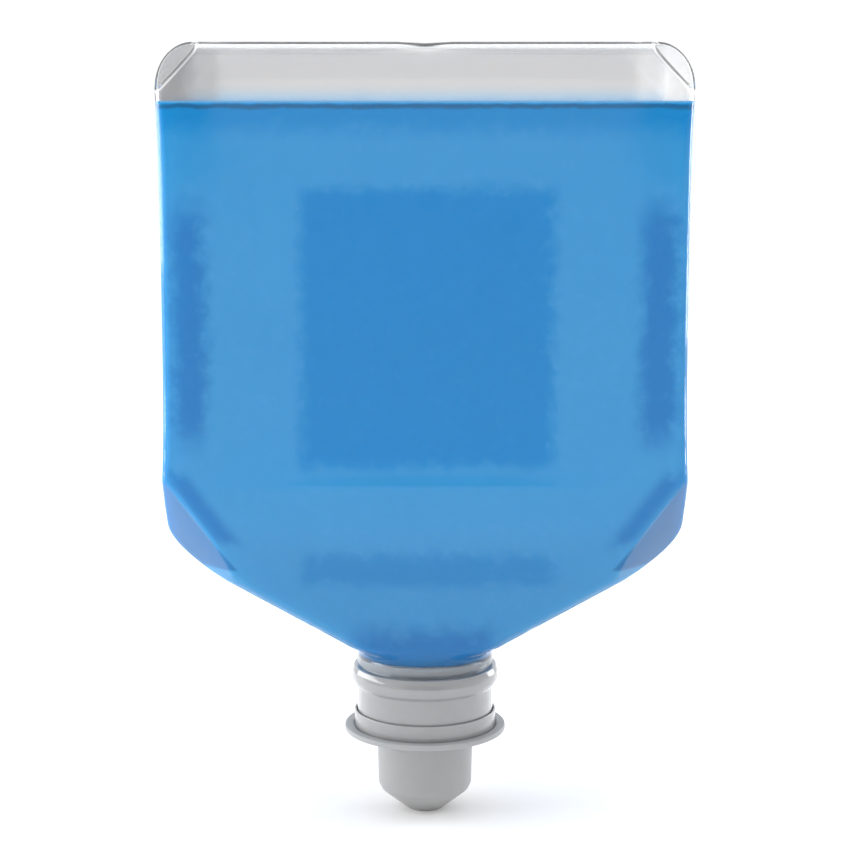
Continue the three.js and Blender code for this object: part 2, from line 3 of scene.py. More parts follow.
import math

import bpy
from bpy.props import FloatProperty, FloatVectorProperty, IntProperty, PointerProperty
from bpy.types import Operator, Panel, PropertyGroup
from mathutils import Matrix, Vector


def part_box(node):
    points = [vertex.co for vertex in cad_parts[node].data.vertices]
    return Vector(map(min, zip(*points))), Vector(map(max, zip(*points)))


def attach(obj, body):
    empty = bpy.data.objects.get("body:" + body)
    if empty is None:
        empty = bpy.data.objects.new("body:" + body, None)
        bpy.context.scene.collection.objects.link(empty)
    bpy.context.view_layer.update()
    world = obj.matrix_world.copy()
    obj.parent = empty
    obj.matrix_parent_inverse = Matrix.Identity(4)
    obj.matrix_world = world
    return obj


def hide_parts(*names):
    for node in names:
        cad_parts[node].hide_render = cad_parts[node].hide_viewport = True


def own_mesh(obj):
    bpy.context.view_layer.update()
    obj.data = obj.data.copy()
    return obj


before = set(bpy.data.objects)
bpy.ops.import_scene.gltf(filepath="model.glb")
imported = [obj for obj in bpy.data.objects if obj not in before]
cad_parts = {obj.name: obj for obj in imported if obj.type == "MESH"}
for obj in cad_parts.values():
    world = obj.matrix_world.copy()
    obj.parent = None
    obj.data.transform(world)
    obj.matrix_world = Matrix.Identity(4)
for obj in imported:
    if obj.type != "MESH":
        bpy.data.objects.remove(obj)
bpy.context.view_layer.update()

bl_info = {
    "name": "Soap Refill Pack",
    "version": (1, 0, 0),
    "blender": (4, 5, 0),
    "location": "3D View > Sidebar > Refill",
    "description": "Makes the bottle, soap, pump and studio of a hand soap refill pack",
    "category": "Add Mesh",
}

MM = 0.001

FIXED_BODY = "bottle_and_housing"
PLUNGER_BODY = "plunger"

BOTTLE_LOW, BOTTLE_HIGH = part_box("bottle")
SOAP_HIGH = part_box("liquid_soap")[1]
NOZZLE_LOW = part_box("nozzle_cup")[0]


# ---- Settings ----


class BottleSettings(PropertyGroup):
    """Sizes of the blow-moulded bottle."""

    half_width: FloatProperty(
        name="Half width", description="From the middle to a side wall, at the base",
        default=BOTTLE_HIGH.x, unit="LENGTH", subtype="DISTANCE",
    )
    half_depth: FloatProperty(
        name="Half depth", description="From the middle to the front wall",
        default=BOTTLE_HIGH.y, unit="LENGTH", subtype="DISTANCE",
    )
    base_height: FloatProperty(
        name="Base height", description="Height of the base, which is on top as the pack hangs",
        default=BOTTLE_HIGH.z, unit="LENGTH", subtype="DISTANCE",
    )
    wall: FloatProperty(
        name="Wall", description="Thickness of the bottle's wall",
        default=1.1 * MM, unit="LENGTH", subtype="DISTANCE",
    )
    notch_radius: FloatProperty(
        name="Notch radius", description="Size of the small notches in the middle of the base's long edges",
        default=4 * MM, unit="LENGTH", subtype="DISTANCE",
    )
    tint: FloatVectorProperty(
        name="Plastic tint", description="Colour that the clear plastic gives to what is seen through it",
        default=(0.95, 0.955, 0.96), subtype="COLOR", min=0, max=1,
    )
    # A greyer tint of the wall above the soap
    headspace_tint: FloatVectorProperty(
        name="Headspace tint", description="The same above the soap, where its headspace greys the wall",
        default=(0.8, 0.8, 0.805), subtype="COLOR", min=0, max=1,
    )
    roughness: FloatProperty(
        name="Gloss loss", description="Roughness of the moulded skin",
        default=0.06, subtype="FACTOR", min=0, max=1,
    )


class SoapSettings(PropertyGroup):
    """Level and colours of the liquid soap."""

    level: FloatProperty(
        name="Level", description="Height of the soap's surface",
        default=SOAP_HIGH.z, unit="LENGTH", subtype="DISTANCE",
    )
    light: FloatVectorProperty(
        name="Light blue", description="Where light comes through the soap",
        default=(0.064, 0.44, 0.83), subtype="COLOR", min=0, max=1,
    )
    # Painted shade: the darker blue in the middle of the pack, under the level and low down
    deep: FloatVectorProperty(
        name="Deep blue", description="Where the soap is shaded",
        default=(0.002, 0.327, 0.748), subtype="COLOR", min=0, max=1,
    )
    # Painted shade along the corners and in the neck
    dark: FloatVectorProperty(
        name="Dark blue", description="Along the corners and in the neck",
        default=(0.0, 0.256, 0.668), subtype="COLOR", min=0, max=1,
    )


class PumpSettings(PropertyGroup):
    """Colours of the pump and the fineness of its turned pieces."""

    glossy: FloatVectorProperty(
        name="Glossy grey", description="Housing and guide collar",
        default=(0.325, 0.325, 0.327), subtype="COLOR", min=0, max=1,
    )
    matt: FloatVectorProperty(
        name="Matt grey", description="Nozzle cup and its flange",
        default=(0.39, 0.39, 0.39), subtype="COLOR", min=0, max=1,
    )
    segments: IntProperty(
        name="Segments", description="Sides of each turned piece", default=128, min=24, max=256,
    )


class StudioSettings(PropertyGroup):
    """Camera, floor and light."""

    distance: FloatProperty(
        name="Distance", description="From the camera to the neck's axis",
        default=0.58, unit="LENGTH", subtype="DISTANCE",
    )
    eye_height: FloatProperty(
        name="Eye height", description="Height of the camera above the neck",
        default=SOAP_HIGH.z, unit="LENGTH", subtype="DISTANCE",
    )
    tilt: FloatProperty(
        name="Tilt", description="How far the camera looks down",
        default=math.radians(8.9), unit="ROTATION", subtype="ANGLE",
    )
    lens: FloatProperty(
        name="Lens", description="Focal length on a 36 mm wide sensor, in millimetres",
        default=87.67, unit="CAMERA",
    )
    floor_size: FloatProperty(
        name="Floor", description="Half the floor's width", default=4.0, unit="LENGTH", subtype="DISTANCE",
    )


# ---- Small sums ----


def clamp01(value):
    return min(max(value, 0.0), 1.0)


def mix(start, end, share):
    return start + (end - start) * share


def smooth_step(start, end, value):
    t = clamp01((value - start) / (end - start))
    return t * t * (3 - 2 * t)


def blended(p, q, blend):
    """The lesser (with a negative blend, the greater) of two values, rounded where they cross."""
    overlap = max(abs(blend) - abs(p - q), 0) / abs(blend)
    extreme = min(p, q) if blend > 0 else max(p, q)
    return extreme - blend * overlap * overlap / 4


# ---- Bottle form ----


class BottleForm:
    """The bottle's outer skin, or a skin drawn in from it by an inset, as level sections. Metres."""

    # Body
    WAIST = 0.95 * MM  # how far the sides draw in at mid height
    FACE_DISH = 1.3 * MM  # how far the front and back draw in at their middle
    WAIST_OVERLAP = 4 * MM  # how far past the facets' starts both of these begin
    DISH_SPREAD = 1.1  # over 1, so that the dish ends short of the side walls
    FACE_BAND = 2 * MM  # depth in which a point counts as part of the front or back

    # Shoulders and neck
    SHOULDER_Z = 38.7 * MM  # where the sides would meet the sloping shoulders
    SHOULDER_SLOPE = 0.628  # fall for each millimetre towards the neck
    SHOULDER_BLEND = 8.6 * MM
    LEAN_Z = 39.4 * MM  # where the front and back start to lean in to the neck
    LEAN = 0.42  # how far they lean in for each millimetre down
    NECK_BLEND = 3 * MM
    NECK_R = 19.5 * MM
    NECK_START_Z = 1.5 * MM
    NECK_ROUND_Z = 5.3 * MM  # where the level sections start to turn round
    NECK_EVEN_Z = 8 * MM  # where their points start to spread evenly, as the neck's do

    # Edges
    BASE_SIDE_RADIUS = 9.5 * MM
    BASE_FRONT_RADIUS = 3.6 * MM
    EDGE_RADIUS = 2.5 * MM
    FACET_EDGE_RADIUS = 1.3 * MM
    SHOULDER_EDGE_RADIUS = 7.7 * MM
    LEAST_RADIUS = 0.6 * MM
    CRISP_CUT = 3 * EDGE_RADIUS  # size from which a facet has crisp edges
    OCTAGON_CUT = 2 - math.sqrt(2)  # cut that leaves a round corner, as a share of its radius

    # Corner facets: where each starts, and its reach from the corner along X, Y and Z
    BASE_FACET = (160.5 * MM, 12.8 * MM, 18 * MM, 13.8 * MM)
    SHOULDER_FACET = (60 * MM, 13.4 * MM, 14.7 * MM, 17.6 * MM)

    # Points of a level section: steps of each rounded corner, and of the flat sides and faces
    STEPS = 7
    ACROSS_SIDE = 8
    ACROSS_FRONT = 16

    # Heights of the sections: turns of the base's edge in degrees, drops below the base, and stretches
    # of the body as (from, to, step), both in millimetres
    EDGE_TURNS = (0, 6, 12, 18, 24, 31, 38, 46, 54, 63, 72, 81, 90)
    EDGE_DROPS = (0.3, 0.9, 1.6, 2.4, 3.1, 3.8, 4.7)
    STRETCHES = (
        (164, 157, 1.0), (156, 150, 2.0), (147, 72, 7.5), (68, 60, 2.0), (59, 24, 1.0), (23, 2, 0.75),
    )
    LEAST_STEP = 0.4 * MM

    def __init__(self, settings, inset=0.0):
        self.half_width = settings.half_width
        self.half_depth = settings.half_depth
        self.base_z = settings.base_height
        self.wall = settings.wall
        self.inset = inset

    def mid_body(self, z):
        """1 in the middle of the body's height and 0 at the facets."""
        middle = (self.BASE_FACET[0] + self.SHOULDER_FACET[0]) / 2
        reach = (self.BASE_FACET[0] - self.SHOULDER_FACET[0]) / 2 + self.WAIST_OVERLAP
        return 1 - min(abs((z - middle) / reach), 1) ** 4

    def base_rounded(self, distance, radius, z):
        """The distance to a wall, less where the base's edge rounds off."""
        past = z - (self.base_z - self.inset - radius)
        if past <= 0:
            return distance
        return distance - radius + math.sqrt(max(radius * radius - past * past, 0))

    def half_width_at(self, z):
        """From the middle to a side wall, a shoulder or the neck."""
        side = self.half_width - self.inset - self.WAIST * self.mid_body(z)
        slope_inset = self.inset * math.hypot(1, 1 / self.SHOULDER_SLOPE)
        shoulder = self.half_width + (z - self.SHOULDER_Z) / self.SHOULDER_SLOPE - slope_inset
        rounded = self.base_rounded(side, self.BASE_SIDE_RADIUS - self.inset, z)
        body = blended(rounded, shoulder, self.SHOULDER_BLEND)
        return blended(body, self.NECK_R - self.inset, -self.NECK_BLEND)

    def half_depth_at(self, z):
        """From the middle to the front wall or the neck."""
        leaning = self.half_depth + (z - self.LEAN_Z) * self.LEAN - self.inset * math.hypot(1, self.LEAN)
        rounded = self.base_rounded(self.half_depth - self.inset, self.BASE_FRONT_RADIUS - self.inset, z)
        body = blended(rounded, leaning, self.NECK_BLEND)
        return blended(body, self.NECK_R - self.inset, -self.NECK_BLEND)

    def corner_radius_at(self, z):
        """Radius of the section's corners, which grows until the section is round."""
        towards_neck = smooth_step(self.NECK_ROUND_Z, self.NECK_START_Z, z)
        shoulder_share = smooth_step(self.SHOULDER_FACET[0], self.LEAN_Z, z)
        body = mix(self.EDGE_RADIUS, self.SHOULDER_EDGE_RADIUS, shoulder_share)
        return max(mix(body, self.NECK_R, towards_neck) - self.inset, self.LEAST_RADIUS)

    def facet_cut(self, z, half_width, half_depth):
        """How far the corner facet's plane cuts into the section's corner, along X and along Y."""
        at_base = z > (self.BASE_FACET[0] + self.SHOULDER_FACET[0]) / 2
        start_z, reach_x, reach_y, reach_z = self.BASE_FACET if at_base else self.SHOULDER_FACET
        deep = (z - start_z) / reach_z if at_base else (start_z - z) / reach_z
        cut = deep + self.inset * math.hypot(1 / reach_x, 1 / reach_y, 1 / reach_z)
        lost_x = self.half_width - half_width
        lost_y = self.half_depth - half_depth
        return (
            reach_x * (cut - lost_y / reach_y) - lost_x,
            reach_y * (cut - lost_x / reach_x) - lost_y,
        )

    def quarter(self, z):
        """One quarter of the level section, from the +X wall round to the +Y wall."""
        a = self.half_width_at(z)
        b = self.half_depth_at(z)
        wanted = min(self.corner_radius_at(z), a, b)
        facet_x, facet_y = self.facet_cut(z, a, b)
        crisp = smooth_step(self.OCTAGON_CUT * wanted, self.CRISP_CUT, min(facet_x, facet_y))
        radius = mix(wanted, min(self.FACET_EDGE_RADIUS, wanted), crisp)
        cut_x = min(max(facet_x, self.OCTAGON_CUT * radius), a)
        cut_y = min(max(facet_y, self.OCTAGON_CUT * radius), b)
        on_side = Vector((a, b - cut_y))
        on_front = Vector((a - cut_x, b))
        room = math.hypot(cut_x, cut_y) / 2
        side_turn = math.atan2(cut_x, cut_y)
        side_radius = min(radius, room / math.tan(side_turn / 2))
        front_radius = min(radius, room / math.tan((math.pi / 2 - side_turn) / 2))
        return [
            *rounded_corner(Vector((a, 0)), on_side, on_front, side_radius, self.STEPS),
            *rounded_corner(on_side, on_front, Vector((0, b)), front_radius, self.STEPS),
        ]

    def circle(self, radius, z):
        """A round section with as many points as the body's, even and in step with them."""
        corners = 4 * 2 * (self.STEPS + 1)
        count = corners + 2 * (self.ACROSS_SIDE - 1) + 2 * (self.ACROSS_FRONT - 1)
        turns = [2 * math.pi * (k + self.ACROSS_SIDE / 2) / count for k in range(count)]
        return [Vector((radius * math.cos(t), radius * math.sin(t), z)) for t in turns]

    def section(self, z):
        """A whole level section, with its faces dished and its points spread evenly towards the neck."""
        quarter = self.quarter(z)
        quarters = [
            quarter,
            [Vector((-p.x, p.y)) for p in reversed(quarter)],
            [Vector((-p.x, -p.y)) for p in quarter],
            [Vector((p.x, -p.y)) for p in reversed(quarter)],
        ]
        ring = []
        for i, points in enumerate(quarters):
            following = quarters[(i + 1) % 4][0]
            across = self.ACROSS_SIDE if i % 2 else self.ACROSS_FRONT
            ring += points
            ring += [points[-1].lerp(following, k / across) for k in range(1, across)]
        dish = self.FACE_DISH * self.mid_body(z)
        even = smooth_step(self.NECK_EVEN_Z, self.NECK_START_Z + MM, z)
        circle = self.circle(self.NECK_R - self.inset, z)
        placed = []
        for point, round_point in zip(ring, circle):
            on_face = abs(point.y) > self.half_depth - self.wall - self.FACE_BAND
            share = 1 - min(abs(point.x / self.half_width) * self.DISH_SPREAD, 1) ** 4 if on_face else 0
            dished = Vector((point.x, point.y - math.copysign(dish * share, point.y), z))
            placed.append(dished.lerp(round_point, even))
        return placed

    def heights(self, lowest):
        """Section heights from the base down to lowest, close together where the form turns."""
        edge = self.BASE_SIDE_RADIUS - self.inset
        top = self.base_z - self.inset
        rounds = [top - edge * (1 - math.cos(math.radians(turn))) for turn in self.EDGE_TURNS]
        crisp = [top - drop * MM for drop in self.EDGE_DROPS]
        body = []
        for start, end, step in self.STRETCHES:
            count = round((start - end) / step)
            body += [mix(start, end, i / count) * MM for i in range(count + 1)]
        below_edge = [z for z in body if z < top - edge - self.LEAST_STEP]
        return [z for z in sorted({*rounds, *crisp, *below_edge}, reverse=True) if z > lowest]


def rounded_corner(a, b, c, radius, steps):
    """An arc of steps + 1 points that rounds the corner at b between a and c."""
    to_a = (a - b).normalized()
    to_c = (c - b).normalized()
    half = to_a.angle(to_c) / 2
    centre = b + (to_a + to_c).normalized() * (radius / math.sin(half))
    start = b + to_a * (radius / math.tan(half)) - centre
    sweep = math.pi - 2 * half
    points = []
    for i in range(steps + 1):
        turn = sweep * i / steps
        cos, sin = math.cos(turn), math.sin(turn)
        points.append(centre + Vector((start.x * cos - start.y * sin, start.x * sin + start.y * cos)))
    return points


# ---- Meshes ----


def new_piece(name, points, faces, material):
    """A smooth mesh object from points and faces, with this material."""
    mesh = bpy.data.meshes.new(name)
    mesh.from_pydata(points, [], faces)
    mesh.validate()
    mesh.update()
    for polygon in mesh.polygons:
        polygon.use_smooth = True
    piece = bpy.data.objects.new(name, mesh)
    bpy.context.scene.collection.objects.link(piece)
    piece.data.materials.append(material)
    return piece


def band_faces(upper, lower, count):
    """Faces between two rings of count points, by their first points. They face out when lower is below."""
    faces = []
    for k in range(count):
        following = (k + 1) % count
        faces.append((upper + k, lower + k, lower + following, upper + following))
    return faces


def loft(rings):
    """Points and faces of a closed skin over a stack of rings. The first ring's cap faces up."""
    count = len(rings[0])
    points = [p for ring in rings for p in ring]
    points += [sum(rings[0], Vector()) / count, sum(rings[-1], Vector()) / count]
    faces = []
    for i in range(len(rings) - 1):
        faces += band_faces(i * count, (i + 1) * count, count)
    last = (len(rings) - 1) * count
    for k in range(count):
        following = (k + 1) % count
        faces.append((len(points) - 2, k, following))
        faces.append((len(points) - 1, last + following, last + k))
    return points, faces


def turned(profile, segments):
    """Points and faces of a closed profile of (radius, z) pairs in millimetres, turned about Z."""
    area = sum(p[0] * q[1] - q[0] * p[1] for p, q in zip(profile, profile[1:] + profile[:1]))
    outline = profile if area > 0 else profile[::-1]
    points = []
    for radius, z in outline:
        for k in range(segments):
            turn = 2 * math.pi * k / segments
            points.append(Vector((radius * math.cos(turn), radius * math.sin(turn), z)) * MM)
    faces = []
    for i in range(len(outline)):
        faces += band_faces(((i + 1) % len(outline)) * segments, i * segments, segments)
    return points, faces


def coil(radius, wire_radius, top, bottom, turns):
    """Points and faces of a round wire wound about Z from the top down. Metres."""
    sides, steps_per_turn = 12, 48
    steps = turns * steps_per_turn
    fall = (bottom - top) / (2 * math.pi * turns)
    rings = []
    for i in range(steps + 1):
        turn = 2 * math.pi * i / steps_per_turn
        outward = Vector((math.cos(turn), math.sin(turn), 0))
        centre = outward * radius + Vector((0, 0, mix(top, bottom, i / steps)))
        along = Vector((-radius * math.sin(turn), radius * math.cos(turn), fall)).normalized()
        across = outward.cross(along)
        ring = []
        for k in range(sides):
            around = 2 * math.pi * k / sides
            ring.append(centre + (outward * math.cos(around) + across * math.sin(around)) * wire_radius)
        rings.append(ring)
    return loft(rings)


def softened(profile, radius):
    """The closed profile with each corner turned into a small arc. A point may carry its own radius."""
    arc_steps, side_share, nearly_straight = 4, 0.48, -0.995
    outline = []
    for i, point in enumerate(profile):
        here = Vector(point[:2])
        before = Vector(profile[i - 1][:2])
        after = Vector(profile[(i + 1) % len(profile)][:2])
        to_before, to_after = before - here, after - here
        if to_before.normalized().dot(to_after.normalized()) < nearly_straight:
            outline.append(tuple(here))
            continue
        wanted = point[2] if len(point) > 2 else radius
        half = to_before.angle(to_after) / 2
        room = min(to_before.length, to_after.length) * side_share * math.tan(half)
        fitted = min(wanted, room)
        if to_before.cross(to_after) < 0:
            arc = rounded_corner(before, here, after, fitted, arc_steps)
        else:
            arc = rounded_corner(after, here, before, fitted, arc_steps)[::-1]
        outline += [tuple(p) for p in arc]
    return outline


def place(piece, body, nodes):
    """Puts the piece on its body, in place of these nodes."""
    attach(piece, body)
    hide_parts(*nodes)
    return piece


# ---- Material building ----


class NodeBench:
    """Adds shader nodes to a tree and links them, one call a node."""

    def __init__(self, tree):
        self.tree = tree

    def add(self, kind, inputs=None, **settings):
        """A new node with these settings and inputs."""
        node = self.tree.nodes.new(kind)
        for key, value in settings.items():
            setattr(node, key, value)
        self.fill(node, inputs or {})
        return node

    def fill(self, node, inputs):
        """Links each input to the socket that is given for it, or sets its value."""
        for key, value in inputs.items():
            if isinstance(value, bpy.types.NodeSocket):
                self.tree.links.new(value, node.inputs[key])
            else:
                node.inputs[key].default_value = value

    def compute(self, operation, *values, clamp=False):
        """The result of one arithmetic operation on sockets or numbers."""
        inputs = dict(enumerate(values))
        return self.add("ShaderNodeMath", inputs, operation=operation, use_clamp=clamp).outputs[0]

    def plus(self, first, second):
        return self.compute("ADD", first, second)

    def times(self, first, second):
        return self.compute("MULTIPLY", first, second)

    def joined(self, first, *others):
        """The sum of several shares, never over 1."""
        for other in others:
            first = self.compute("ADD", first, other, clamp=True)
        return first

    def ramp(self, value, start, end, low=0.0, high=1.0):
        """From low where value is at start to high where it is at end."""
        inputs = {0: value, 1: start, 2: end, 3: low, 4: high}
        return self.add("ShaderNodeMapRange", inputs, interpolation_type="SMOOTHSTEP").outputs[0]

    def band(self, value, low, high, fade):
        """1 where value is between low and high, with ends that fade out over fade to both sides."""
        opening = self.ramp(value, low - fade, low + fade)
        return self.times(opening, self.ramp(value, high + fade, high - fade))

    def noise(self, vector, scale, detail, roughness):
        inputs = {"Vector": vector, "Scale": scale, "Detail": detail, "Roughness": roughness}
        return self.add("ShaderNodeTexNoise", inputs).outputs["Fac"]

    def blend(self, share, first, second, mode="MIX"):
        """The first colour, with the second laid over it as far as share says."""
        inputs = {0: share, 6: first, 7: second}
        return self.add("ShaderNodeMix", inputs, data_type="RGBA", blend_type=mode).outputs[2]

    def layered(self, base, *layers):
        """The base colour with each (share, colour) laid over it in turn."""
        color = (*base, 1.0)
        for share, layer in layers:
            color = self.blend(share, color, (*layer, 1.0))
        return color

    def split(self, vector):
        return self.add("ShaderNodeSeparateXYZ", {0: vector}).outputs

    def bump(self, height, strength, distance):
        inputs = {"Height": height, "Strength": strength, "Distance": distance}
        return self.add("ShaderNodeBump", inputs).outputs[0]


def new_material(name):
    """A material with one Principled shader, its bench, and the object coordinates."""
    material = bpy.data.materials.new(name)
    material.use_nodes = True
    tree = material.node_tree
    bench = NodeBench(tree)
    where = bench.add("ShaderNodeTexCoord").outputs["Object"]
    return material, bench, tree.nodes["Principled BSDF"], where


def new_group(name, inputs, outputs):
    """An empty shader node group with these sockets, given as (name, kind) pairs."""
    group = bpy.data.node_groups.new(name, "ShaderNodeTree")
    for direction, sockets in (("INPUT", inputs), ("OUTPUT", outputs)):
        for socket_name, kind in sockets:
            group.interface.new_socket(socket_name, in_out=direction, socket_type=kind)
    bench = NodeBench(group)
    return group, bench, bench.add("NodeGroupInput").outputs, bench.add("NodeGroupOutput")


def moulded_skin_group():
    """The skin of moulded plastic: fine grain, slow waviness and a few rubbed patches."""
    if "Moulded skin" in bpy.data.node_groups:
        return bpy.data.node_groups["Moulded skin"]
    value = "NodeSocketFloat"
    inputs = [("Vector", "NodeSocketVector")]
    inputs += [(name, value) for name in ("Grain scale", "Grain", "Waves", "Gloss loss")]
    outputs = [(name, value) for name in ("Height", "Roughness", "Shade")]
    group, bench, given, result = new_group("Moulded skin", inputs, outputs)
    grain = bench.noise(given["Vector"], given["Grain scale"], 3.0, 0.6)
    waves = bench.noise(given["Vector"], 45.0, 1.0, 0.4)
    patches = bench.noise(given["Vector"], 130.0, 4.0, 0.62)
    rubbed = bench.times(bench.ramp(patches, 0.45, 0.72), 0.05)
    bench.fill(result, {
        "Height": bench.plus(bench.times(grain, given["Grain"]), bench.times(waves, given["Waves"])),
        "Roughness": bench.plus(given["Gloss loss"], rubbed),
        "Shade": bench.ramp(patches, 0.2, 0.8, 0.965, 1.03),
    })
    return group


def add_skin(bench, vector, grain_scale, grain, waves, gloss_loss):
    """The moulded skin group, placed in a material with its own values."""
    inputs = {
        "Vector": vector, "Grain scale": grain_scale, "Grain": grain, "Waves": waves,
        "Gloss loss": gloss_loss,
    }
    return bench.add("ShaderNodeGroup", inputs, node_tree=moulded_skin_group()).outputs


def plastic_material(name, color, gloss_loss, grain_scale, grain, waves, translucent=0.0, coat=0.0):
    """Moulded plastic of one colour, a little uneven in shade, gloss and surface."""
    material, bench, shader, where = new_material(name)
    skin = add_skin(bench, where, grain_scale, grain, waves, gloss_loss)
    bench.fill(shader, {
        "Base Color": bench.blend(1.0, (*color, 1.0), skin["Shade"], "MULTIPLY"),
        "Roughness": skin["Roughness"],
        "Normal": bench.bump(skin["Height"], 0.25, 0.06 * MM),
        "IOR": 1.49,
    })
    if coat:
        bench.fill(shader, {"Coat Weight": coat, "Coat Roughness": 0.06, "Coat IOR": 1.6})
    if translucent:
        bench.fill(shader, {
            "Subsurface Weight": translucent,
            "Subsurface Radius": (1.0, 1.0, 1.0),
            "Subsurface Scale": 2.5 * MM,
        })
    return material


# Tints of the clear bottle, with its painted reflection, painted shade, painted light and painted highlight
# Painted reflection of the blue soap, on the wall just above the level
PAINTED_SOAP_REFLECTION_TINT = (0.55, 0.76, 0.93)
NECK_TINT = (0.9, 0.96, 1.0)
# Painted shade on the top left corner above the soap, and painted light on the top right
PAINTED_SHADE_CORNER_TINT = (0.62, 0.62, 0.625)
PAINTED_LIGHT_CORNER_TINT = (0.97, 0.97, 0.97)
BARE_WALL_TINT = (0.93, 0.94, 0.95)
NO_GLOW = (0.0, 0.0, 0.0)
# Painted highlight: a glow along the edges of the base facets
FACET_EDGE_PAINTED_HIGHLIGHT = (0.32, 0.32, 0.32)


def past_base_facet(bench, x, y, z, bottle):
    """0 on the plane of a base facet and less inside the bottle, as a share of the facet's reach."""
    start_z, reach_x, reach_y, reach_z = BottleForm.BASE_FACET
    across, depth = bench.compute("ABSOLUTE", x), bench.compute("ABSOLUTE", y)
    by_x = bench.compute("MULTIPLY_ADD", across, 1 / reach_x, -bottle.half_width / reach_x)
    by_y = bench.compute("MULTIPLY_ADD", depth, 1 / reach_y, by_x)
    by_z = bench.compute("MULTIPLY_ADD", z, 1 / reach_z, by_y)
    return bench.compute("SUBTRACT", by_z, bottle.half_depth / reach_y + start_z / reach_z)


def bottle_material(bottle, soap):
    """Clear plastic. Light passes it on the way to the soap. A painted reflection of the soap tints it just
    above the level, it is greyer above the soap, it has painted shade at the top left corner and painted
    light at the top right, and a painted highlight glows along the base facets' edges.
    """
    material, bench, shader, where = new_material("Clear bottle plastic")
    x, y, z = bench.split(where)
    skin = add_skin(bench, where, 900.0, 0.04, 0.5, bottle.roughness)
    in_air = bench.compute("GREATER_THAN", z, soap.level)
    # Painted reflection: the wall turns blue just above the soap's level
    painted_reflection_fade = bench.ramp(z, soap.level + 4.5 * MM, soap.level, 0.0, 0.55)
    wall = bench.layered(
        bottle.tint,
        # Greyer above the soap
        (in_air, bottle.headspace_tint),
        (bench.times(painted_reflection_fade, in_air), PAINTED_SOAP_REFLECTION_TINT),
        (bench.ramp(z, 5 * MM, 1.5 * MM), NECK_TINT),
        # Painted shade at the top left corner and painted light at the top right, above the soap
        (bench.times(bench.ramp(x, -58 * MM, -63 * MM), in_air), PAINTED_SHADE_CORNER_TINT),
        (bench.times(bench.ramp(x, 60 * MM, 64 * MM), in_air), PAINTED_LIGHT_CORNER_TINT),
    )
    past_facet = past_base_facet(bench, x, y, z, bottle)
    # Painted highlight along the edges of the base facets, given as a glow
    painted_facet_highlight = bench.times(bench.ramp(past_facet, -0.1, -0.06), bench.ramp(past_facet, -0.006, -0.035))
    bench.fill(shader, {
        "Base Color": wall,
        "Roughness": bench.plus(skin["Roughness"], bench.times(in_air, 0.07)),
        "Normal": bench.bump(skin["Height"], 0.12, 0.2 * MM),
        # The painted highlight glows above the soap
        "Emission Color": bench.layered(NO_GLOW, (bench.times(painted_facet_highlight, in_air), FACET_EDGE_PAINTED_HIGHLIGHT)),
        "Emission Strength": 1.0,
        "IOR": 1.42,
        "Transmission Weight": 1.0,
    })
    clear = bench.add("ShaderNodeBsdfTransparent", {"Color": (*BARE_WALL_TINT, 1.0)})
    shadow = bench.add("ShaderNodeLightPath").outputs["Is Shadow Ray"]
    mixed = bench.add("ShaderNodeMixShader", {0: shadow, 1: shader.outputs[0], 2: clear.outputs[0]})
    bench.fill(material.node_tree.nodes["Material Output"], {"Surface": mixed.outputs[0]})
    return material


# Zones of painted shade on the soap, in millimetres: left, right, bottom, top, and how far the sides and the
# ends fade. The last two count from the edge of a shoulder facet instead of from the middle.
MIDDLE_ZONE = (-33, 34, 62, 136, 2.6, 2.6)
LOWER_ZONE = (-33, 35, 28.5, 37.5, 2.5, 2.5)
UNDER_LEVEL_ZONE = (-80, 80, 151.5, 170, 4, 4)
LEFT_ZONE = (-67, -58.5, 69, 131, 3, 6.5)
RIGHT_ZONE = (57.5, 67, 69, 131, 3, 6.5)
NECK_ZONE = (-20, 20, -10, 14, 5, 5)
BESIDE_FACET_ZONE = (-6.5, -0.5, 41, 60, 2.5, 2.5)
ON_FACET_ZONE = (0.5, 20, 33, 58, 0.6, 0.6)

# Painted shade on the shoulder facets
FACET_PAINTED_SHADE = (0.0, 0.22, 0.55)
# Painted shade: a dark line just under the soap's level
LEVEL_LINE_PAINTED_SHADE = (0.016, 0.12, 0.28)
# Painted highlight along the soap's rim at the level
RIM_PAINTED_HIGHLIGHT = (0.24, 0.5, 0.74)


def zone(bench, x, z, sizes):
    """1 inside a zone of painted shade, fading to 0 round it."""
    left, right, bottom, top, side_fade, end_fade = (size * MM for size in sizes)
    return bench.times(bench.band(x, left, right, side_fade), bench.band(z, bottom, top, end_fade))


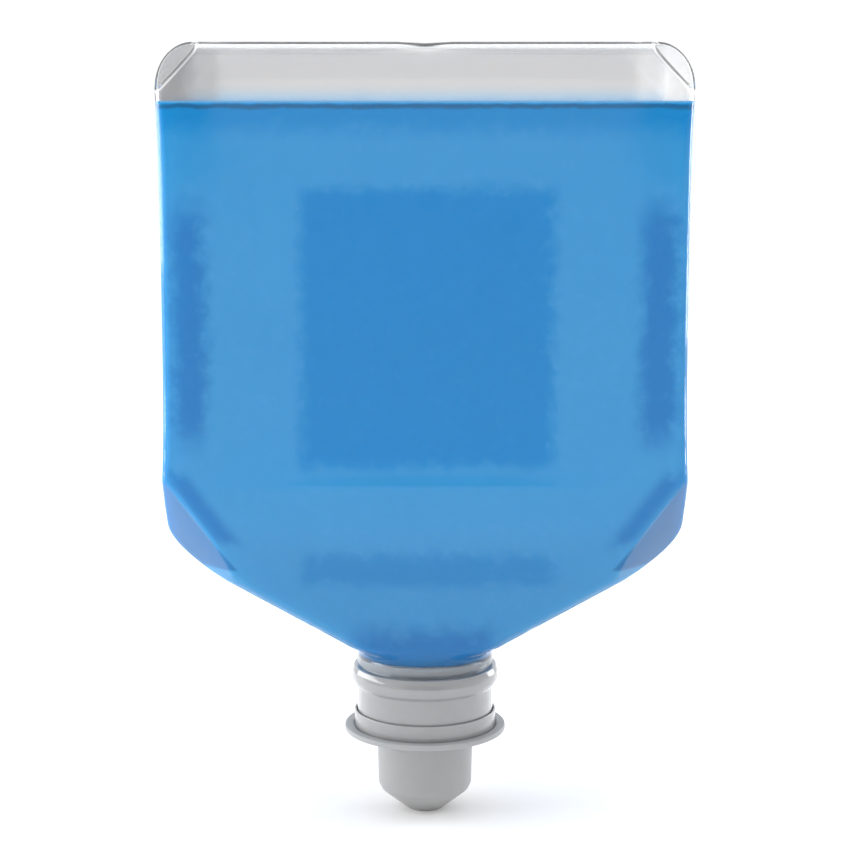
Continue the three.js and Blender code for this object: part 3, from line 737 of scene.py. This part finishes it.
def soap_material(soap):
    """Blue soap with painted shade: darker in the middle of the pack, lighter round it, darker still along
    the corners, on the shoulder facets and in the neck, with a painted dark line and a painted highlight at
    the level.
    """
    material, bench, shader, where = new_material("Blue soap")
    ragged = bench.noise(where, 220.0, 5.0, 0.65)
    slow = bench.noise(where, 40.0, 2.0, 0.5)
    uneven = bench.compute("SUBTRACT", ragged, 0.5)
    shift = bench.times(uneven, 9 * MM)
    x, _, z = bench.split(where)
    across = bench.compute("ABSOLUTE", x)
    moved_x, moved_z = bench.plus(x, shift), bench.plus(z, shift)

    start_z, reach_x, _, reach_z = BottleForm.SHOULDER_FACET
    facet_x = bench.compute("MULTIPLY_ADD", z, -reach_x / reach_z, across)
    facet_x = bench.compute("SUBTRACT", facet_x, BOTTLE_HIGH.x - start_z * reach_x / reach_z)

    # Painted shade in the middle of the pack, under the level and low down
    deep = bench.joined(
        zone(bench, moved_x, moved_z, MIDDLE_ZONE),
        bench.times(zone(bench, moved_x, moved_z, UNDER_LEVEL_ZONE), 0.85),
        bench.times(zone(bench, moved_x, moved_z, LOWER_ZONE), 0.8),
    )
    # Darker painted shade at the sides, beside the shoulder facets and in the neck
    dark = bench.joined(
        zone(bench, moved_x, moved_z, LEFT_ZONE),
        zone(bench, moved_x, moved_z, RIGHT_ZONE),
        zone(bench, facet_x, moved_z, BESIDE_FACET_ZONE),
        zone(bench, moved_x, moved_z, NECK_ZONE),
    )
    # Painted shade: an uneven dark line just under the level
    line_z = bench.plus(z, bench.times(uneven, 1.6 * MM))
    painted_level_line = bench.times(
        bench.ramp(line_z, soap.level - 2.4 * MM, soap.level - 1.5 * MM),
        bench.ramp(line_z, soap.level - 0.4 * MM, soap.level - 1.1 * MM),
    )
    # Painted highlight on the rim, just at the level
    painted_rim_highlight = bench.ramp(z, soap.level - 0.7 * MM, soap.level - 0.1 * MM)
    bench.fill(shader, {
        "Base Color": bench.layered(
            soap.light,
            (bench.times(slow, 0.22), soap.deep),
            # Painted shade in the middle of the pack
            (deep, soap.deep),
            # Painted shade on the shoulder facets
            (zone(bench, facet_x, z, ON_FACET_ZONE), FACET_PAINTED_SHADE),
            # Painted shade along the side edges
            (bench.ramp(across, 66 * MM, 70 * MM, 0.0, 0.5), soap.dark),
            # Darker painted shade at the sides, beside the facets and in the neck
            (bench.times(dark, 0.9), soap.dark),
            # Painted dark line under the level
            (bench.times(painted_level_line, 0.75), LEVEL_LINE_PAINTED_SHADE),
            # Painted highlight on the rim
            (bench.times(painted_rim_highlight, 0.6), RIM_PAINTED_HIGHLIGHT),
        ),
        "Roughness": bench.ramp(ragged, 0.3, 0.7, 0.2, 0.3),
        "Normal": bench.bump(slow, 0.1, 0.3 * MM),
        "IOR": 1.36,
        "Specular IOR Level": 0.15,
    })
    return material


def steel_material():
    """Drawn steel wire: bright, with fine lines along it."""
    material, bench, shader, where = new_material("Drawn steel wire")
    stretched = bench.add("ShaderNodeMapping", {"Vector": where, "Scale": (1.0, 1.0, 14.0)}).outputs[0]
    lines = bench.noise(stretched, 900.0, 2.0, 0.5)
    bench.fill(shader, {
        "Base Color": bench.blend(lines, (0.5, 0.51, 0.53, 1.0), (0.72, 0.73, 0.75, 1.0)),
        "Roughness": bench.ramp(lines, 0.2, 0.8, 0.2, 0.38),
        "Normal": bench.bump(lines, 0.2, 0.04 * MM),
        "Metallic": 1.0,
    })
    return material


def mesh_material():
    """Fine woven screen: threads crossing at right angles."""
    material, bench, shader, where = new_material("Woven foam screen")
    x, y, _ = bench.split(where)
    per_thread = math.pi / (0.28 * MM)
    across = bench.compute("ABSOLUTE", bench.compute("SINE", bench.times(x, per_thread)))
    along = bench.compute("ABSOLUTE", bench.compute("SINE", bench.times(y, per_thread)))
    threads = bench.ramp(bench.compute("MAXIMUM", across, along), 0.55, 0.9)
    bench.fill(shader, {
        "Base Color": bench.blend(threads, (0.2, 0.2, 0.2, 1.0), (0.78, 0.78, 0.76, 1.0)),
        "Roughness": bench.ramp(threads, 0.0, 1.0, 0.8, 0.5),
        "Normal": bench.bump(threads, 0.6, 0.08 * MM),
    })
    return material


# ---- Pieces ----


def turned_piece(name, profile, radius, material):
    """A piece turned about Z from a profile with its corners rounded by this radius, in millimetres."""
    points, faces = turned(softened(profile, radius), bpy.context.scene.refill_pump.segments)
    return new_piece(name, points, faces, material)


class REFILL_OT_bottle(Operator):
    """Makes the clear blow-moulded bottle"""

    bl_idname = "refill.bottle"
    bl_label = "Bottle"

    NECK_BORE_R = 17.2 * MM
    FORM_END_Z = 2 * MM
    INNER_FORM_END_Z = 4.5 * MM

    # Outside of the neck with its snap ring: (radius, z) in millimetres
    FINISH = [
        (19.5, 1.5), (19.5, 0.6), (19.5, -0.2), (19.4, -0.75), (19.2, -0.9), (18.6, -0.9), (18.6, -2.0),
        (18.6, -3.0), (18.85, -3.12), (19.25, -3.35), (19.3, -3.5), (19.3, -4.3), (19.2, -4.5), (18.7, -4.75),
        (18.6, -4.9), (18.6, -5.8), (18.45, -6.0),
    ]

    # Notches in the base's long edges
    NOTCH_DEPTH = 0.9 * MM
    NOTCH_LENGTH = 1.35  # times their radius, along the edge
    NOTCH_FLAT = 0.35  # share of their radius that has the full depth
    NOTCH_DIP = 0.4  # share of the depth by which the edge also drops
    NOTCH_EDGE = 1.6  # how far in they reach, in radii of the base's edge

    def execute(self, context):
        settings = context.scene.refill_bottle
        outer = BottleForm(settings)
        inner = BottleForm(settings, inset=settings.wall)
        rings = [
            [self.with_notch(p, outer, settings.notch_radius) for p in outer.section(z)]
            for z in outer.heights(self.FORM_END_Z)
        ]
        rings += [outer.circle(r * MM, z * MM) for r, z in self.FINISH]
        bore = [
            (outer.NECK_R - 2 * settings.wall, outer.NECK_START_Z + MM),
            (self.NECK_BORE_R, outer.NECK_START_Z - MM),
            (self.NECK_BORE_R, BOTTLE_LOW.z),
        ]
        inner_rings = [inner.section(z) for z in inner.heights(self.INNER_FORM_END_Z)]
        inner_rings += [inner.circle(r, z) for r, z in bore]
        points, faces = loft(rings + inner_rings[::-1])
        material = bottle_material(settings, context.scene.refill_soap)
        piece = new_piece("bottle_shell", points, faces, material)
        place(piece, FIXED_BODY, ["bottle"])
        return {"FINISHED"}

    def with_notch(self, point, form, radius):
        """Draws the base's long edges in at their middle, in a small half-round notch."""
        reach = math.hypot(point.x / (self.NOTCH_LENGTH * radius), (point.z - form.base_z) / radius)
        near_wall = abs(point.y) > form.half_depth - form.BASE_FRONT_RADIUS * self.NOTCH_EDGE
        if reach >= 1 or not near_wall:
            return point
        depth = self.NOTCH_DEPTH * (1 - smooth_step(self.NOTCH_FLAT, 1.0, reach))
        drawn_in = point.y - math.copysign(depth, point.y)
        return Vector((point.x, drawn_in, point.z - depth * self.NOTCH_DIP))


class REFILL_OT_soap(Operator):
    """Fills the bottle with soap up to its level"""

    bl_idname = "refill.soap"
    bl_label = "Soap"

    SOAK = 0.35 * MM  # how far the soap reaches into the wall, so that no air shows between them
    FORM_END_Z = 4.6 * MM

    # The level, which climbs at the wall: (climb, distance in from the wall). Then the soap in the neck
    # and round the liquid cylinder: (radius, z). All in millimetres
    RIM = [(0.0, 3.2), (0.12, 2.0), (0.45, 1.0), (0.8, 0.45), (1.1, 0.08)]
    NECK = [(17.65, 2.45), (15.8, 2.4), (15.8, -1.0), (15.8, -6.8)]
    CHAMBER = [(6.5, -6.8), (6.5, 10.0), (6.5, 19.3), (1.7, 19.3), (1.7, 20.9)]

    def execute(self, context):
        bottle = context.scene.refill_bottle
        soap = context.scene.refill_soap
        form = BottleForm(bottle, inset=bottle.wall - self.SOAK)
        surface = soap.level - self.RIM[-1][0] * MM
        rings = []
        for climb, shrink in self.RIM:
            section = form.section(surface)
            rings.append([self.drawn_in(p, shrink * MM, surface + climb * MM) for p in section])
        rings += [form.section(z) for z in [surface] + form.heights(self.FORM_END_Z) if z <= surface]
        rings += [form.circle(r * MM, z * MM) for r, z in self.NECK + self.CHAMBER]
        points, faces = loft(rings)
        piece = new_piece("blue_soap", points, faces, soap_material(soap))
        place(piece, FIXED_BODY, ["liquid_soap"])
        return {"FINISHED"}

    @staticmethod
    def drawn_in(point, distance, height):
        """The point moved towards the middle planes by this distance, at this height."""
        x = math.copysign(max(abs(point.x) - distance, 0), point.x)
        y = math.copysign(max(abs(point.y) - distance, 0), point.y)
        return Vector((x, y, height))


class REFILL_OT_housing(Operator):
    """Makes the glossy closure with its rolled bead and skirt"""

    bl_idname = "refill.housing"
    bl_label = "Pump housing"

    # (radius, z) in millimetres, and for some corners how far they are rounded
    PROFILE = [
        (18.85, -1.15), (20.4, -1.15, 0.3), (21.05, -2.5, 1.5), (21.25, -3.6, 1.2), (21.2, -4.8, 1.2),
        (20.5, -6.3, 1.6), (19.6, -7.2, 0.8), (19.6, -15.05, 0.3), (18.3, -15.05, 0.1), (18.05, -14.85, 0.1),
        (18.4, -14.6), (18.4, -8.3, 0.3), (6.4, -8.3), (6.4, -7.1), (16.1, -7.1, 0.2), (16.1, 2.2, 0.15),
        (16.8, 2.2, 0.2), (17.23, 1.7, 0.3), (17.23, -5.9), (16.9, -6.2), (16.9, -7.1), (18.85, -7.1),
        (18.85, -4.95), (19.55, -4.6), (19.55, -3.2), (18.85, -2.85),
    ]

    def execute(self, context):
        color = tuple(context.scene.refill_pump.glossy)
        material = plastic_material(
            "Glossy grey plastic", color, 0.12, 1200.0, 0.05, 0.6, translucent=0.25, coat=0.8,
        )
        piece = turned_piece("pump_housing_shell", self.PROFILE, 0.1, material)
        place(piece, FIXED_BODY, ["pump_housing"])
        return {"FINISHED"}


class REFILL_OT_nozzle(Operator):
    """Makes the nozzle cup with its drive flange, and the collar that stands on it"""

    bl_idname = "refill.nozzle"
    bl_label = "Nozzle and collar"

    # (radius, z) in millimetres, and for some corners how far they are rounded
    CUP = [
        (3.6, -44.0, 0.3), (5.4, -44.0, 0.7), (12.6, -38.2, 2.2), (13.45, -36.4, 2.2), (13.85, -20.9, 0.5),
        (14.25, -20.5, 0.3), (23.15, -20.5, 0.5), (23.15, -18.9, 0.4), (20.65, -18.9, 0.15),
        (20.65, -19.3, 0.1), (12.85, -19.3, 0.3), (12.45, -36.9, 0.8), (5.9, -42.1, 0.4), (5.9, -16.9, 0.2),
        (4.85, -16.9, 0.2), (4.85, -41.7, 0.2), (3.6, -42.8, 0.2),
    ]
    COLLAR = [(19.8, -19.25), (20.35, -19.25), (20.35, -14.3, 0.3), (19.8, -14.3, 0.2)]

    def execute(self, context):
        pump = context.scene.refill_pump
        matt = plastic_material(
            "Matt grey plastic", tuple(pump.matt), 0.42, 2400.0, 0.8, 0.4, translucent=0.15,
        )
        cup = turned_piece("nozzle_cup_shell", self.CUP, 0.2, matt)
        place(cup, PLUNGER_BODY, ["nozzle_cup"])
        glossy = plastic_material(
            "Glossy collar plastic", tuple(pump.glossy), 0.1, 1200.0, 0.05, 0.5, translucent=0.25, coat=0.6,
        )
        collar = turned_piece("guide_collar_ring", self.COLLAR, 0.1, glossy)
        place(collar, PLUNGER_BODY, ["guide_collar"])
        return {"FINISHED"}


class REFILL_OT_spring(Operator):
    """Winds the return spring"""

    bl_idname = "refill.spring"
    bl_label = "Return spring"

    COIL_R = 4.3 * MM
    WIRE_R = 0.35 * MM
    TOP_Z = 17.3 * MM
    BOTTOM_Z = 1.6 * MM
    TURNS = 5

    def execute(self, context):
        points, faces = coil(self.COIL_R, self.WIRE_R, self.TOP_Z, self.BOTTOM_Z, self.TURNS)
        piece = new_piece("return_spring_coil", points, faces, steel_material())
        place(piece, FIXED_BODY, ["return_spring"])
        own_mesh(piece)
        return {"FINISHED"}


class REFILL_OT_pump_insides(Operator):
    """Gives the pieces inside the pump their finishes"""

    bl_idname = "refill.pump_insides"
    bl_label = "Pump insides"

    def execute(self, context):
        white = plastic_material(
            "White inner plastic", (0.8, 0.8, 0.79), 0.3, 1800.0, 0.2, 0.4, translucent=0.15,
        )
        silicone = plastic_material(
            "Milky silicone", (0.74, 0.75, 0.76), 0.42, 1800.0, 0.3, 0.5, translucent=0.4,
        )
        gasket = plastic_material("Foamed gasket", (0.76, 0.76, 0.73), 0.6, 3200.0, 0.9, 0.2)
        finishes = (
            (white, ("liquid_cylinder", "piston_stem", "air_piston", "screen_carrier")),
            (silicone, ("inlet_valve", "liquid_piston_seal", "air_intake_valve", "outlet_valve")),
            (gasket, ("neck_gasket",)),
            (mesh_material(), ("upper_screen", "lower_screen")),
        )
        for material, nodes in finishes:
            for node in nodes:
                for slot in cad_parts[node].material_slots:
                    slot.material = material
        return {"FINISHED"}


class REFILL_OT_studio(Operator):
    """Sets up the pale floor, the soft lights and the camera"""

    bl_idname = "refill.studio"
    bl_label = "Studio"

    FLOOR_GAP = 0.05 * MM  # under the nozzle's tip
    SENSOR_WIDTH = 36.0

    # Name, place, size and power of each light, in metres and watts
    SOFTBOXES = (
        ("Left softbox", (-0.7, 0.1, 0.18), (0.9, 0.25), 2.9),
        ("Right softbox", (0.6, 0.46, 0.16), (0.25, 0.3), 1.2),
        ("Top softbox", (0.0, -0.1, 0.85), (0.5, 0.5), 2.5),
    )

    # Strength of the world's light: in front, at the sides, and what comes on top behind and overhead
    FRONT, SIDES, BEHIND, OVERHEAD = 0.22, 0.84, 0.22, 0.34

    def execute(self, context):
        studio = context.scene.refill_studio
        self.make_floor(studio)
        self.make_world(context)
        for name, position, size, power in self.SOFTBOXES:
            self.make_light(context, name, Vector(position), size, power)
        self.make_camera(context, studio)
        return {"FINISHED"}

    def make_floor(self, studio):
        size = studio.floor_size
        height = NOZZLE_LOW.z - self.FLOOR_GAP
        corners = [Vector((x * size, y * size, height)) for x, y in ((-1, -1), (1, -1), (1, 1), (-1, 1))]
        material, bench, shader, where = new_material("Pale floor")
        fleck = bench.noise(where, 60.0, 3.0, 0.5)
        bench.fill(shader, {
            "Base Color": bench.blend(fleck, (0.9, 0.9, 0.905, 1.0), (0.93, 0.93, 0.935, 1.0)),
            "Roughness": 0.9,
            "Specular IOR Level": 0.1,
            "Emission Color": (1.0, 1.0, 1.0, 1.0),
            "Emission Strength": 0.06,
        })
        floor = new_piece("floor", corners, [(0, 1, 2, 3)], material)

    def make_world(self, context):
        """White all round, dimmer from the front, so that round pieces are lighter at their edges."""
        world = bpy.data.worlds.new("Studio world")
        world.use_nodes = True
        context.scene.world = world
        bench = NodeBench(world.node_tree)
        direction = bench.add("ShaderNodeTexCoord").outputs["Generated"]
        _, depth, height = bench.split(direction)
        level = bench.plus(
            bench.ramp(depth, -0.97, -0.55, self.FRONT, self.SIDES),
            bench.ramp(depth, -0.5, 0.2, 0.0, self.BEHIND),
        )
        strength = bench.plus(level, bench.ramp(height, 0.1, 0.9, 0.0, self.OVERHEAD))
        background = world.node_tree.nodes["Background"]
        bench.fill(background, {"Color": (1.0, 1.0, 1.0, 1.0), "Strength": strength})
        context.scene.view_settings.view_transform = "Standard"

    @staticmethod
    def make_light(context, name, position, size, power):
        data = bpy.data.lights.new(name, "AREA")
        data.shape = "RECTANGLE"
        data.size, data.size_y = size
        data.energy = power
        light = bpy.data.objects.new(name, data)
        light.location = position
        middle = Vector((0, 0, (NOZZLE_LOW.z + BOTTLE_HIGH.z) / 2))
        light.rotation_euler = (middle - position).to_track_quat("-Z", "Y").to_euler()
        context.scene.collection.objects.link(light)

    def make_camera(self, context, studio):
        data = bpy.data.cameras.new("Camera")
        data.sensor_width = self.SENSOR_WIDTH
        data.lens = studio.lens
        camera = bpy.data.objects.new("Camera", data)
        camera.location = (0, -studio.distance, studio.eye_height)
        camera.rotation_euler = (math.pi / 2 - studio.tilt, 0, 0)
        context.scene.collection.objects.link(camera)
        context.scene.camera = camera


# ---- Panel and registration ----

STEPS = (
    REFILL_OT_studio,
    REFILL_OT_bottle,
    REFILL_OT_soap,
    REFILL_OT_housing,
    REFILL_OT_nozzle,
    REFILL_OT_spring,
    REFILL_OT_pump_insides,
)

SETTINGS = {
    "refill_bottle": BottleSettings,
    "refill_soap": SoapSettings,
    "refill_pump": PumpSettings,
    "refill_studio": StudioSettings,
}


class REFILL_PT_panel(Panel):
    """Lists the steps and their settings"""

    bl_label = "Soap refill pack"
    bl_idname = "REFILL_PT_panel"
    bl_space_type = "VIEW_3D"
    bl_region_type = "UI"
    bl_category = "Refill"

    def draw(self, context):
        for step in STEPS:
            self.layout.operator(step.bl_idname)
        for name, group in SETTINGS.items():
            box = self.layout.box()
            for key in group.__annotations__:
                box.prop(getattr(context.scene, name), key)


def register():
    for group in SETTINGS.values():
        bpy.utils.register_class(group)
    for name, group in SETTINGS.items():
        setattr(bpy.types.Scene, name, PointerProperty(type=group))
    for step in STEPS:
        bpy.utils.register_class(step)
    bpy.utils.register_class(REFILL_PT_panel)


def unregister():
    bpy.utils.unregister_class(REFILL_PT_panel)
    for step in reversed(STEPS):
        bpy.utils.unregister_class(step)
    for name, group in SETTINGS.items():
        delattr(bpy.types.Scene, name)
        bpy.utils.unregister_class(group)


def main():
    register()
    bpy.ops.refill.studio()
    bpy.ops.refill.bottle()
    bpy.ops.refill.soap()
    bpy.ops.refill.housing()
    bpy.ops.refill.nozzle()
    bpy.ops.refill.spring()
    bpy.ops.refill.pump_insides()


if __name__ == "__main__":
    main()
